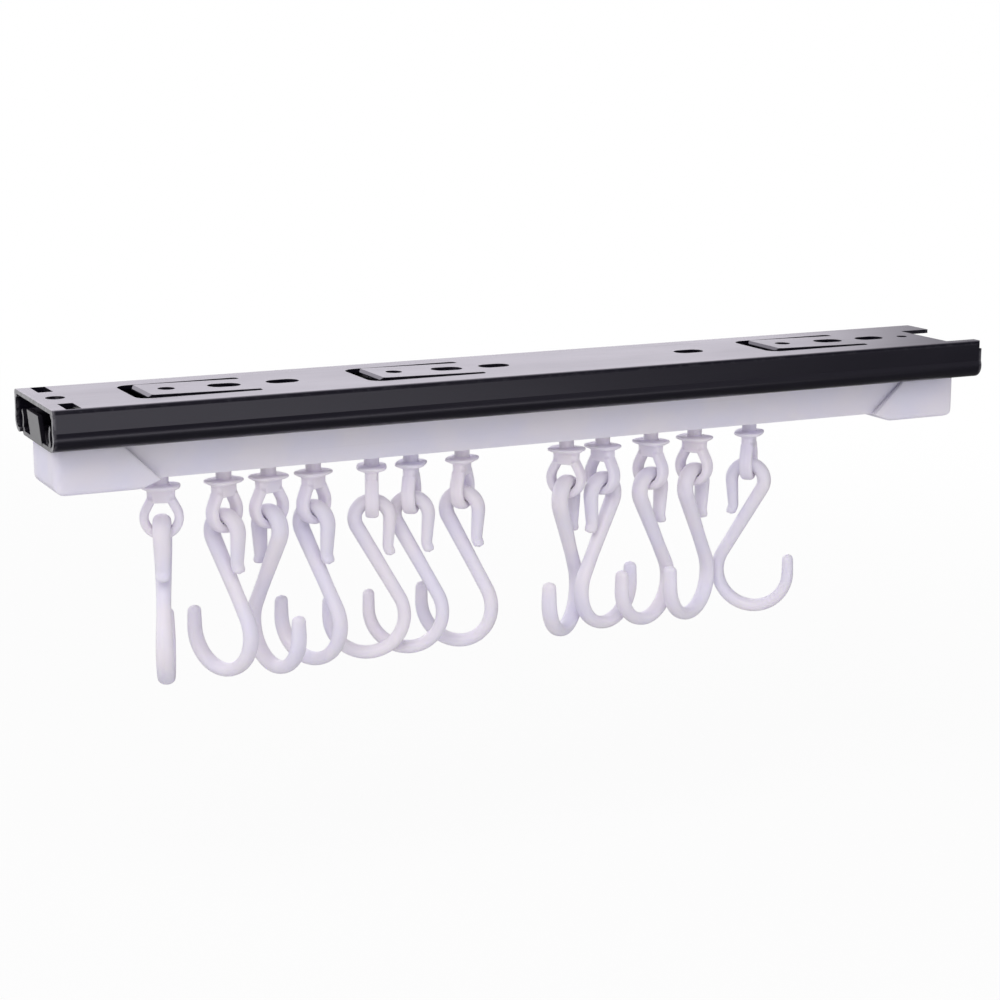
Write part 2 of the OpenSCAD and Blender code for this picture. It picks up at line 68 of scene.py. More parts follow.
class Wire:
    """A socket in a node tree that takes part in ordinary arithmetic."""

    def __init__(self, tree: "Shading", socket: bpy.types.NodeSocket) -> None:
        """Keep the tree and the socket that the value comes from."""
        self.tree = tree
        self.socket = socket

    def _maths(self, operation: str, first: Value, second: Value = 0.0) -> "Wire":
        """Add one Math node and return what it gives."""
        node = self.tree.node("ShaderNodeMath", {"operation": operation}, {0: first, 1: second})
        return Wire(self.tree, node.outputs[0])

    def __add__(self, other: Value) -> "Wire":
        """self + other."""
        return self._maths("ADD", self, other)

    def __radd__(self, other: Value) -> "Wire":
        """other + self."""
        return self._maths("ADD", other, self)

    def __sub__(self, other: Value) -> "Wire":
        """self - other."""
        return self._maths("SUBTRACT", self, other)

    def __rsub__(self, other: Value) -> "Wire":
        """other - self."""
        return self._maths("SUBTRACT", other, self)

    def __mul__(self, other: Value) -> "Wire":
        """self * other."""
        return self._maths("MULTIPLY", self, other)

    def __rmul__(self, other: Value) -> "Wire":
        """other * self."""
        return self._maths("MULTIPLY", other, self)

    def __neg__(self) -> "Wire":
        """The value with its sign turned."""
        return self._maths("MULTIPLY", self, -1.0)

    def size(self) -> "Wire":
        """The value without its sign."""
        return self._maths("ABSOLUTE", self)

    def between(self, low: float, high: float) -> "Wire":
        """0 below low and 1 above high, with a smooth step between them.

        Args:
            low: the value that gives 0.
            high: the value that gives 1.

        Returns:
            The mask.
        """
        settings = {"interpolation_type": "SMOOTHSTEP"}
        node = self.tree.node("ShaderNodeMapRange", settings, {0: self, 1: low, 2: high, 3: 0.0, 4: 1.0})
        return Wire(self.tree, node.outputs[0])


class Shading:
    """The node tree of one material or of the world."""

    def __init__(self, nodes: bpy.types.NodeTree) -> None:
        """Empty the tree, ready for new nodes."""
        self.nodes = nodes
        nodes.nodes.clear()

    def node(self, kind: str, settings: Mapping[str, Any], inputs: Mapping[Any, Value]) -> bpy.types.Node:
        """Add a node.

        Args:
            kind: Blender's name for the type of node.
            settings: properties that are set first, such as a Math node's operation.
            inputs: values or wires for its sockets, by name or number.

        Returns:
            The new node.
        """
        made = self.nodes.nodes.new(kind)
        for name, setting in settings.items():
            setattr(made, name, setting)
        for name, value in inputs.items():
            socket = made.inputs[name]
            if isinstance(value, Wire):
                self.nodes.links.new(value.socket, socket)
            elif hasattr(value, "__len__") and len(socket.default_value) == 4:
                socket.default_value = (*value, 1.0)
            else:
                socket.default_value = value
        return made

    def place(self) -> Wire:
        """The point on the piece, in metres, in the object's own frame."""
        return Wire(self, self.node("ShaderNodeTexCoord", {}, {}).outputs["Object"])

    def stretched(self, scale: Sequence[float]) -> Wire:
        """The point with each axis multiplied.

        Args:
            scale: one factor for each axis.

        Returns:
            The stretched point.
        """
        node = self.node("ShaderNodeVectorMath", {"operation": "MULTIPLY"}, {0: self.place(), 1: scale})
        return Wire(self, node.outputs[0])

    def along(self, axis: str) -> Wire:
        """One coordinate of the point, in metres."""
        return Wire(self, self.node("ShaderNodeSeparateXYZ", {}, {0: self.place()}).outputs[axis])

    def cloud(self, per_mm: Sequence[float], detail: float = 2.0, rough: float = 0.5) -> Wire:
        """Soft random values from 0 to 1.

        Args:
            per_mm: how many blobs there are to a millimetre along each axis.
            detail: how many finer layers are added.
            rough: how strong the finer layers are.

        Returns:
            The value at each point.
        """
        where = self.stretched([n / MM for n in per_mm])
        inputs = {"Vector": where, "Scale": 1.0, "Detail": detail, "Roughness": rough}
        return Wire(self, self.node("ShaderNodeTexNoise", {}, inputs).outputs[0])

    def cells(self, per_mm: float) -> Wire:
        """Distance to the nearest of many scattered points.

        Args:
            per_mm: how many cells there are to a millimetre.

        Returns:
            The distance at each point, in cell widths.
        """
        where = self.stretched([per_mm / MM] * 3)
        node = self.node("ShaderNodeTexVoronoi", {"feature": "F1"}, {"Vector": where, "Scale": 1.0})
        return Wire(self, node.outputs[0])

    def ray(self, kind: str) -> Wire:
        """1 for rays of the kind that Light Path's output names, and 0 for all others."""
        return Wire(self, self.node("ShaderNodeLightPath", {}, {}).outputs[kind])

    def stored(self, name: str) -> Wire:
        """A number that the mesh keeps for each of its points."""
        return Wire(self, self.node("ShaderNodeAttribute", {"attribute_name": name}, {}).outputs["Fac"])

    def mix(self, share: Value, first: Value, second: Value) -> Wire:
        """Mix two colours.

        Args:
            share: how much of the second colour there is.
            first: the colour at share 0.
            second: the colour at share 1.

        Returns:
            The mixed colour.
        """
        node = self.node("ShaderNodeMix", {"data_type": "RGBA"}, {0: share, 6: first, 7: second})
        return Wire(self, node.outputs[2])

    def bumped(self, height: Wire, depth_mm: float) -> Wire:
        """A normal that follows a height from 0 to 1, depth_mm high."""
        node = self.node("ShaderNodeBump", {}, {"Strength": 1.0, "Distance": depth_mm * MM, "Height": height})
        return Wire(self, node.outputs[0])


# Finishes


@dataclass(frozen=True)
class Finish:
    """A surface finish: its name and its base colour in screen values."""

    name: str
    tint: Colour

    def material(self) -> bpy.types.Material:
        """Make the material.

        Returns:
            A material whose Principled shader this finish has set.
        """
        made = bpy.data.materials.new(self.name)
        made.use_nodes = True
        shading = Shading(made.node_tree)
        shader = shading.node("ShaderNodeBsdfPrincipled", {}, {})
        self.dress(shading, shader)
        output = shading.node("ShaderNodeOutputMaterial", {}, {})
        made.node_tree.links.new(shader.outputs[0], output.inputs[0])
        return made

    def dress(self, shading: Shading, shader: bpy.types.Node) -> None:
        """Set the shader's sockets, which each kind of finish does in its own way."""
        raise NotImplementedError

    @staticmethod
    def join(shading: Shading, shader: bpy.types.Node, wires: Mapping[str, Wire]) -> None:
        """Link wires to the shader's sockets by name."""
        for name, wire in wires.items():
            shading.nodes.links.new(wire.socket, shader.inputs[name])


@dataclass(frozen=True)
class BlackPaint(Finish):
    """Baked black paint on rolled steel, with fine flow marks, dust and rubbed lines along the slide."""

    roughness: float = 0.26
    dust: Colour = (96, 94, 104)
    bare: Colour = (158, 156, 162)
    worn: float = 0.3
    half_long_mm: float = 150.0
    half_wide_mm: float = 21.0
    relief_mm: float = 0.006
    refraction: float = 1.52
    glint: Colour = (0.90, 0.86, 1.0)
    coat: float = 0.12
    coat_rough: float = 0.1

    def dress(self, shading: Shading, shader: bpy.types.Node) -> None:
        """Orange-peel paint with long rubbed lines, specks on the upper face, and worn ends and bends.

        Args:
            shading: the material's tree.
            shader: its Principled shader.
        """
        end, side = self.half_long_mm, self.half_wide_mm
        skin = shading.cloud((0.9, 0.9, 0.9), 1.0)
        rubbed = shading.cloud((0.012, 3.2, 3.2), 3.0, 0.6).between(0.56, 0.74)
        blotch = shading.cloud((0.02, 0.05, 0.05), 3.0)
        speck = 1 - shading.cells(0.55).between(0.03, 0.07)
        top = shading.along("Z").between(-1.5 * MM, -0.4 * MM)
        dusty = speck * top * 0.35 + blotch.between(0.42, 0.8) * 0.02 + rubbed * 0.03
        painted = shading.mix(dusty, linear(*self.tint), linear(*self.dust))
        chipped = shading.cloud((0.5, 0.5, 0.5), 3.0, 0.6)
        at_end = shading.along("X").size().between((end - 1.2) * MM, (end - 0.05) * MM)
        at_side = shading.along("Y").size().between((side - 0.9) * MM, (side - 0.1) * MM)
        cut = at_end * chipped.between(0.38, 0.62)
        bend = at_side * top * chipped.between(0.46, 0.7)
        colour = shading.mix((cut + bend * 0.3) * self.worn, painted, linear(*self.bare))
        rough = self.roughness + blotch * 0.10 + rubbed * 0.09 + speck * top * 0.25 + bend * 0.1
        normal = shading.bumped(skin * 0.8 + rubbed * 0.2, self.relief_mm)
        self.join(shading, shader, {"Base Color": colour, "Roughness": rough, "Normal": normal})
        shader.inputs["IOR"].default_value = self.refraction
        shader.inputs["Specular Tint"].default_value = (*self.glint, 1.0)
        shader.inputs["Coat Weight"].default_value = self.coat
        shader.inputs["Coat Roughness"].default_value = self.coat_rough


@dataclass(frozen=True)
class ZincSteel(Finish):
    """Zinc-plated steel with the mill's grain along the slide."""

    roughness: float
    grain: float
    dulled: float = 0.55
    metal: float = 0.92
    relief_mm: float = 0.004

    def dress(self, shading: Shading, shader: bpy.types.Node) -> None:
        """Rolled grain in long fine lines, cloudy zinc and a film of old grease.

        Args:
            shading: the material's tree.
            shader: its Principled shader.
        """
        lines = shading.cloud((0.02, 4.5, 4.5), 3.0, 0.65)
        bloom = shading.cloud((0.12, 0.12, 0.12), 4.0, 0.6)
        film = shading.cloud((0.03, 0.09, 0.09), 2.0).between(0.5, 0.75)
        dark = tuple(self.dulled * c for c in linear(*self.tint))
        colour = shading.mix(bloom.between(0.35, 0.75) * 0.45 + film * 0.3, linear(*self.tint), dark)
        rough = self.roughness + bloom * 0.14 + lines * 0.10 * self.grain - film * 0.08
        normal = shading.bumped(lines * self.grain, self.relief_mm)
        self.join(shading, shader, {"Base Color": colour, "Roughness": rough, "Normal": normal})
        shader.inputs["Metallic"].default_value = self.metal


@dataclass(frozen=True)
class BallSteel(Finish):
    """Polished bearing steel with a smear of grease."""

    grease: Colour = (140, 134, 120)

    def dress(self, shading: Shading, shader: bpy.types.Node) -> None:
        """Bright steel that the grease dulls in patches.

        Args:
            shading: the material's tree.
            shader: its Principled shader.
        """
        smear = shading.cloud((0.5, 0.5, 0.5), 3.0).between(0.45, 0.7)
        colour = shading.mix(smear * 0.4, linear(*self.tint), linear(*self.grease))
        self.join(shading, shader, {"Base Color": colour, "Roughness": 0.08 + smear * 0.22})
        shader.inputs["Metallic"].default_value = 1.0


class Making(Enum):
    """How a plastic piece was made, which decides the marks on it."""

    EXTRUDED = "extruded"
    MOULDED = "moulded"


@dataclass(frozen=True)
class MilkyPlastic(Finish):
    """Milky nylon that lets a little light through."""

    making: Making
    roughness: float
    depth_mm: float
    glow: float
    soil: Colour = (150, 140, 150)
    warmth: Colour = (1.0, 0.985, 0.975)
    chill: Colour = (0.94, 0.945, 1.0)
    relief_mm: float = 0.022
    refraction: float = 1.49
    scatter: Colour = (1.0, 0.92, 1.1)

    def dress(self, shading: Shading, shader: bpy.types.Node) -> None:
        """Cloudy resin with flow or draw lines, pores, a mould's seam, and a skin that varies in gloss.

        Args:
            shading: the material's tree.
            shader: its Principled shader.
        """
        if self.making is Making.EXTRUDED:
            flow = shading.cloud((0.01, 2.4, 2.4), 3.0, 0.55)
        else:
            flow = shading.cloud((0.16, 0.16, 0.11), 4.0, 0.6)
        milk = shading.cloud((0.05, 0.07, 0.06), 3.0)
        pores = 1 - shading.cells(0.8).between(0.02, 0.09)
        base = linear(*self.tint)
        warm, cool = (tuple(c * k for c, k in zip(base, cast)) for cast in (self.warmth, self.chill))
        body = shading.mix(milk.between(0.3, 0.7), warm, cool)
        soiled = shading.mix(pores * 0.22 + flow.between(0.6, 0.85) * 0.07, body, linear(*self.soil))
        seam = 1 - shading.stored(SEAM).between(0.06, 0.22)
        rough = self.roughness + flow * 0.12 + milk * 0.07
        normal = shading.bumped(flow * 0.5 - pores * 0.3 + seam * 1.2, self.relief_mm)
        self.join(shading, shader, {"Base Color": soiled, "Roughness": rough, "Normal": normal})
        shader.inputs["IOR"].default_value = self.refraction
        shader.inputs["Subsurface Weight"].default_value = self.glow
        shader.inputs["Subsurface Radius"].default_value = self.scatter
        shader.inputs["Subsurface Scale"].default_value = self.depth_mm * MM


# Surfaces


def rounded(turn: np.ndarray, fullness: Union[float, np.ndarray]) -> tuple[np.ndarray, np.ndarray]:
    """Go round a section that is a circle at a fullness of 2 and squarer above it.

    Formula: the sizes of the cosine and the sine are raised to the power 2 / fullness and keep their signs.

    Args:
        turn: the angles round the section.
        fullness: how full the section is.

    Returns:
        The two coordinates, from -1 to 1.
    """
    power = 2.0 / fullness
    first, second = (np.sign(part) * np.abs(part) ** power for part in (np.cos(turn), np.sin(turn)))
    return first, second


def travelled(line: np.ndarray) -> np.ndarray:
    """How far along the line each of its points is."""
    return np.concatenate([[0.0], np.cumsum(np.linalg.norm(np.diff(line, axis=0), axis=1))])


@dataclass(frozen=True)
class Bar:
    """A bar with rounded sides that follows a path in an upright plane.

    path holds rows of (across, up) in mm, and wide and thick the bar's half sizes in and out of the plane.
    """

    path: np.ndarray
    wide: np.ndarray
    thick: np.ndarray
    fullness: float

    def grid(self, around: int) -> np.ndarray:
        """Work out the bar's surface.

        Formula: each point is the path's point, plus the in-plane normal times the half width and the
        rounded cosine, plus the out-of-plane axis times the half thickness and the rounded sine.

        Args:
            around: the number of points round the section.

        Returns:
            Rows along the path, each with points round the section that hold (across, out, up).
        """
        run = np.gradient(self.path, axis=0)
        run /= np.linalg.norm(run, axis=1, keepdims=True)
        side = np.stack([-run[:, 1], run[:, 0]], axis=1)
        c, s = rounded(np.linspace(0.0, 2.0 * np.pi, around, endpoint=False), self.fullness)
        flat = self.path[:, None, :] + side[:, None, :] * (self.wide[:, None] * c)[..., None]
        out = self.thick[:, None] * s[None, :]
        return np.stack([flat[..., 0], out, flat[..., 1]], axis=-1)


@dataclass(frozen=True)
class Skin:
    """Points in mm and the faces over them, as numbers of points."""

    points: np.ndarray
    faces: list[list[int]]

    def grown(self, other: "Skin") -> "Skin":
        """Join another body to this one, without the parts of either that lie inside the other.

        Args:
            other: the skin of the second body.

        Returns:
            The skin round both bodies together.
        """
        pair = [bpy.data.objects.new("half", bpy.data.meshes.new("half")) for _ in range(2)]
        for half, skin in zip(pair, (self, other)):
            half.data.from_pydata(skin.points.tolist(), [], skin.faces)
            bpy.context.scene.collection.objects.link(half)
        union = pair[0].modifiers.new("union", "BOOLEAN")
        union.operation = "UNION"
        union.solver = "EXACT"
        union.object = pair[1]
        whole = bpy.data.meshes.new_from_object(pair[0].evaluated_get(bpy.context.evaluated_depsgraph_get()))
        points = np.empty(3 * len(whole.vertices))
        whole.vertices.foreach_get("co", points)
        faces = [list(face.vertices) for face in whole.polygons]
        for half in pair:
            bpy.data.meshes.remove(half.data)
        bpy.data.meshes.remove(whole)
        return Skin(points.reshape(-1, 3), faces)

    def placed(self, x: float, yaw: float, z: float = 0.0, turn: float = 0.0) -> "Skin":
        """The skin turned in its own plane, then about +Z, and moved.

        Formula: the skin's axes are across, out and up. A turn about out gives across' and up', and then a
        yaw about up gives x + across' cos(yaw) - out sin(yaw), across' sin(yaw) + out cos(yaw) and z + up'.

        Args:
            x: the place along the slide.
            yaw: the turn about +Z, in degrees.
            z: the height.
            turn: the turn in the skin's own plane, in degrees.

        Returns:
            The skin at its place.
        """
        tilt, spin = math.radians(turn), math.radians(yaw)
        across = self.points[:, 0] * math.cos(tilt) - self.points[:, 2] * math.sin(tilt)
        up = self.points[:, 0] * math.sin(tilt) + self.points[:, 2] * math.cos(tilt)
        out = self.points[:, 1]
        placed = np.stack([
            x + across * math.cos(spin) - out * math.sin(spin),
            across * math.sin(spin) + out * math.cos(spin),
            z + up,
        ], axis=1)
        return Skin(placed, self.faces)


def skin_of(rows: np.ndarray) -> Skin:
    """Close a grid of rings into a skin that faces outwards, with one added point at each end.

    Args:
        rows: rings of points in the order in which they follow each other.

    Returns:
        The skin: quads between the rings and triangles at the ends.
    """
    count, around = rows.shape[:2]
    i, j = np.meshgrid(np.arange(count - 1), np.arange(around), indexing="ij")
    after = (j + 1) % around
    here, onward = i * around, (i + 1) * around
    quads = np.stack([here + j, onward + j, onward + after, here + after], axis=-1)
    ring = np.arange(around)
    beside = (ring + 1) % around
    first, last, base = count * around, count * around + 1, (count - 1) * around
    near = np.stack([np.full(around, first), ring, beside], axis=1)
    far = np.stack([np.full(around, last), base + beside, base + ring], axis=1)
    ends = np.stack([rows[0].mean(axis=0), rows[-1].mean(axis=0)])
    points = np.concatenate([rows.reshape(-1, 3), ends])
    return Skin(points, quads.reshape(-1, 4).tolist() + near.tolist() + far.tolist())


def piece(
    name: str, skin: Skin, finish: bpy.types.Material, seam: np.ndarray | None = None
) -> bpy.types.Object:
    """Make one smooth object whose place is in its mesh.

    Args:
        name: the piece's name.
        skin: its points and faces, in the object's frame.
        finish: its material.
        seam: for each point, how far it is from the mould's parting plane, in mm.

    Returns:
        The new object, linked to the scene.
    """
    mesh = bpy.data.meshes.new(name)
    mesh.from_pydata((skin.points * MM).tolist(), [], skin.faces)
    mesh.polygons.foreach_set("use_smooth", np.ones(len(mesh.polygons), bool))
    if seam is not None:
        mesh.attributes.new(SEAM, "FLOAT", "POINT").data.foreach_set("value", seam.astype(np.float32))
    mesh.materials.append(finish)
    mesh.update()
    made = bpy.data.objects.new(name, mesh)
    bpy.context.scene.collection.objects.link(made)
    return made


def dress(node: str, finish: bpy.types.Material) -> None:
    """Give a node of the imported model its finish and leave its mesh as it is.

    Args:
        node: the node's name.
        finish: its material.
    """
    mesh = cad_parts[node].data
    mesh.materials.clear()
    mesh.materials.append(finish)
    log.info("%s dressed in %s", node, finish.name)


def softened(
    node: str, name: str, finish: bpy.types.Material, net_mm: float, rounds: int
) -> bpy.types.Object:
    """Copy a node's mesh and round all its edges, as a moulding's are.

    Formula: the merged copy is covered with an even net of small squares, and then each point of the net
    moves half the way to the mean of its neighbours, as many times as there are rounds.

    Args:
        node: the node that is copied.
        name: the new piece's name.
        finish: its material.
        net_mm: the side of the net's squares.
        rounds: how many times the points move.

    Returns:
        The new object, linked to the scene.
    """
    merged = bmesh.new()
    merged.from_mesh(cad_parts[node].data)
    bmesh.ops.remove_doubles(merged, verts=merged.verts, dist=WELD)
    rough = bpy.data.meshes.new(name)
    merged.to_mesh(rough)
    merged.free()
    made = bpy.data.objects.new(name, rough)
    bpy.context.scene.collection.objects.link(made)
    net = made.modifiers.new("net", "REMESH")
    net.mode = "VOXEL"
    net.voxel_size = net_mm * MM
    net.use_smooth_shade = True
    smooth = made.modifiers.new("smooth", "SMOOTH")
    smooth.factor = 0.5
    smooth.iterations = rounds
    made.data = bpy.data.meshes.new_from_object(made.evaluated_get(bpy.context.evaluated_depsgraph_get()))
    made.modifiers.clear()
    bpy.data.meshes.remove(rough)
    made.data.materials.clear()
    made.data.materials.append(finish)
    return made


# Sub-assemblies


@dataclass
class BallSlide:
    """The fixed outer member, the inner member that pulls out, and the cage of balls between them."""

    outer: Finish = BlackPaint("black_baked_paint", (19, 17, 27))
    inner: Finish = BlackPaint("black_inner_member", (24, 22, 29), 0.3, worn=0.0)
    cage: Finish = ZincSteel("bright_cage", (176, 175, 178), 0.28, 0.5)
    balls: Finish = BallSteel("polished_balls", (205, 205, 208))

    def build(self) -> None:
        """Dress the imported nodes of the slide."""
        dress("outer_member", self.outer.material())
        dress("inner_member", self.inner.material())
        dress("ball_cage", self.cage.material())
        dress("bearing_balls", self.balls.material())


@dataclass
class Track:
    """The white track with its two end caps, the screws that hold them and the runners inside."""

    runners: int = 12
    net_mm: float = 0.32
    rounds: int = 18
    profile: Finish = MilkyPlastic("milky_track", (230, 227, 239), Making.EXTRUDED, 0.33, 2.6, 0.3)
    caps: Finish = MilkyPlastic("milky_caps", (230, 227, 240), Making.MOULDED, 0.38, 2.6, 0.3)
    screws: Finish = ZincSteel("bright_screws", (190, 189, 192), 0.25, 0.4)
    shoes: Finish = MilkyPlastic("runner_nylon", (222, 221, 228), Making.MOULDED, 0.4, 1.5, 0.2)

    def build(self) -> None:
        """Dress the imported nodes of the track."""
        dress("track", self.profile.material())
        caps = self.caps.material()
        for end in ("front", "rear"):
            cap = softened(f"{end}_cap", f"soft_{end}_cap", caps, self.net_mm, self.rounds)
            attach(cap, "pull_out_body")
            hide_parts(f"{end}_cap")
            log.info("%s has %d faces", cap.name, len(cap.data.polygons))
        dress("cap_screws", self.screws.material())
        shoes = self.shoes.material()
        for number in range(1, self.runners + 1):
            dress(f"runner_{number:02d}", shoes)


@dataclass
class Hanger:
    """One S-hook: a short leg, the arch that hangs in the eyelet, the stem and the lower bend."""

    number: int
    x: float
    yaw: float
    pivot_z: float = -42.4
    hang_turn: float = 0.2754
    arch_r: float = 5.15
    stem_lean: float = 30.0
    stem_len: float = 24.6
    bend_r: float = 11.25
    tip_len: float = 6.1
    leg_len: float = 11.0
    leg_lean: float = 4.0
    foot_out: float = 1.1
    foot_reach: float = 3.2
    leg_dome: float = 1.1
    tip_dome: float = 1.7
    stations: tuple[float, ...] = (0.0, 0.07, 0.14, 0.30, 0.47, 0.60, 0.80, 0.93, 1.0)
    half_wide: tuple[float, ...] = (1.45, 1.75, 2.05, 2.15, 2.0, 1.95, 1.95, 1.8, 1.65)
    half_thick: tuple[float, ...] = (1.9, 2.25, 2.55, 2.6, 2.0, 2.5, 2.5, 2.4, 2.05)
    fullness: float = 2.15
    samples: tuple[int, int, int] = (26, 40, 60)
    rings: int = 190
    around: int = 32
    blend: int = 10
    least: float = 0.002

    def path(self) -> np.ndarray:
        """Work out the middle line of the hook.

        Formula: a straight leg, an arc about the pivot from the leg to the stem, the straight stem, an arc
        about the bend's centre until it points straight up, and the straight tip, each meeting the next in
        the same direction. Near its end the leg steps outwards into a foot.

        Returns:
            Rows of (across, up) in mm, from the foot of the leg to the tip, about evenly spaced.
        """
        lean, tilt = math.radians(self.stem_lean), math.radians(self.leg_lean)
        leg_top = self.arch_r * np.array([-math.cos(tilt), -math.sin(tilt)])
        foot = leg_top + self.leg_len * np.array([math.sin(tilt), -math.cos(tilt)])
        stem_top = self.arch_r * np.array([math.cos(lean), -math.sin(lean)])
        stem_end = stem_top + self.stem_len * np.array([-math.sin(lean), -math.cos(lean)])
        centre = stem_end + self.bend_r * np.array([math.cos(lean), -math.sin(lean)])
        straight, over, under = self.samples
        share = np.linspace(0.0, 1.0, straight)[:, None]
        turn = np.linspace(math.pi + tilt, -lean, over)
        sweep = np.linspace(math.pi - lean, 2.0 * math.pi, under)
        leg = foot * (1 - share) + leg_top * share
        arch = self.arch_r * np.stack([np.cos(turn), np.sin(turn)], axis=1)
        stem = stem_top * (1 - share) + stem_end * share
        bend = centre + self.bend_r * np.stack([np.cos(sweep), np.sin(sweep)], axis=1)
        tip_low = centre + np.array([self.bend_r, 0.0])
        tip = tip_low + np.array([0.0, self.tip_len]) * share
        line = np.concatenate([leg, arch[1:], stem[1:], bend[1:], tip[1:]])
        gone = travelled(line)
        even = np.linspace(0.0, gone[-1], self.rings)
        line = np.stack([np.interp(even, gone, line[:, 0]), np.interp(even, gone, line[:, 1])], axis=1)
        near = np.clip(1 - even / self.foot_reach, 0.0, 1.0)
        line[:, 0] -= self.foot_out * near * near * (3 - 2 * near)
        return line

    def blended(self, share: np.ndarray, sizes: Sequence[float]) -> np.ndarray:
        """Carry a size from station to station along the middle line, without corners.

        Formula: straight steps between the stations, then a running mean with a bell's weights.

        Args:
            share: how far along the line each point is, from 0 to 1.
            sizes: the size at each station.

        Returns:
            The size at each point.
        """
        bell = np.hanning(2 * self.blend + 1)
        steps = np.interp(share, self.stations, sizes)
        return np.convolve(np.pad(steps, self.blend, "edge"), bell / bell.sum(), "valid")

    def domed(self, gone: np.ndarray) -> np.ndarray:
        """Work out the factor that closes the bar at both ends.

        Formula: over a dome's length it grows as the edge of an ellipse, from just above 0 so that the
        end rings have a size, and elsewhere it is 1.

        Args:
            gone: how far along the line each point is, in mm.

        Returns:
            The factor at each point.
        """
        ends = np.stack([gone / self.leg_dome, (gone[-1] - gone) / self.tip_dome])
        away = 1 - np.clip(ends, 0.0, 1.0)
        return np.sqrt(np.clip(1 - away ** 2, self.least, 1.0)).prod(axis=0)

    def build(self, finish: bpy.types.Material) -> bpy.types.Object:
        """Make the hook's surface and let it ride on its body.

        Args:
            finish: the hook's material.

        Returns:
            The finished piece.
        """
        line = self.path()
        gone = travelled(line)
        share, dome = gone / gone[-1], self.domed(gone)
        wide, thick = (self.blended(share, sizes) * dome for sizes in (self.half_wide, self.half_thick))
        skin = skin_of(Bar(line, wide, thick, self.fullness).grid(self.around))
        seam = np.abs(skin.points[:, 1])
        placed = skin.placed(self.x, self.yaw, self.pivot_z, self.hang_turn)
        made = piece(f"s_hook_{self.number:02d}", placed, finish, seam)
        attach(made, f"hook_{self.number:02d}")
        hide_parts(f"hook_{self.number:02d}")
        return made


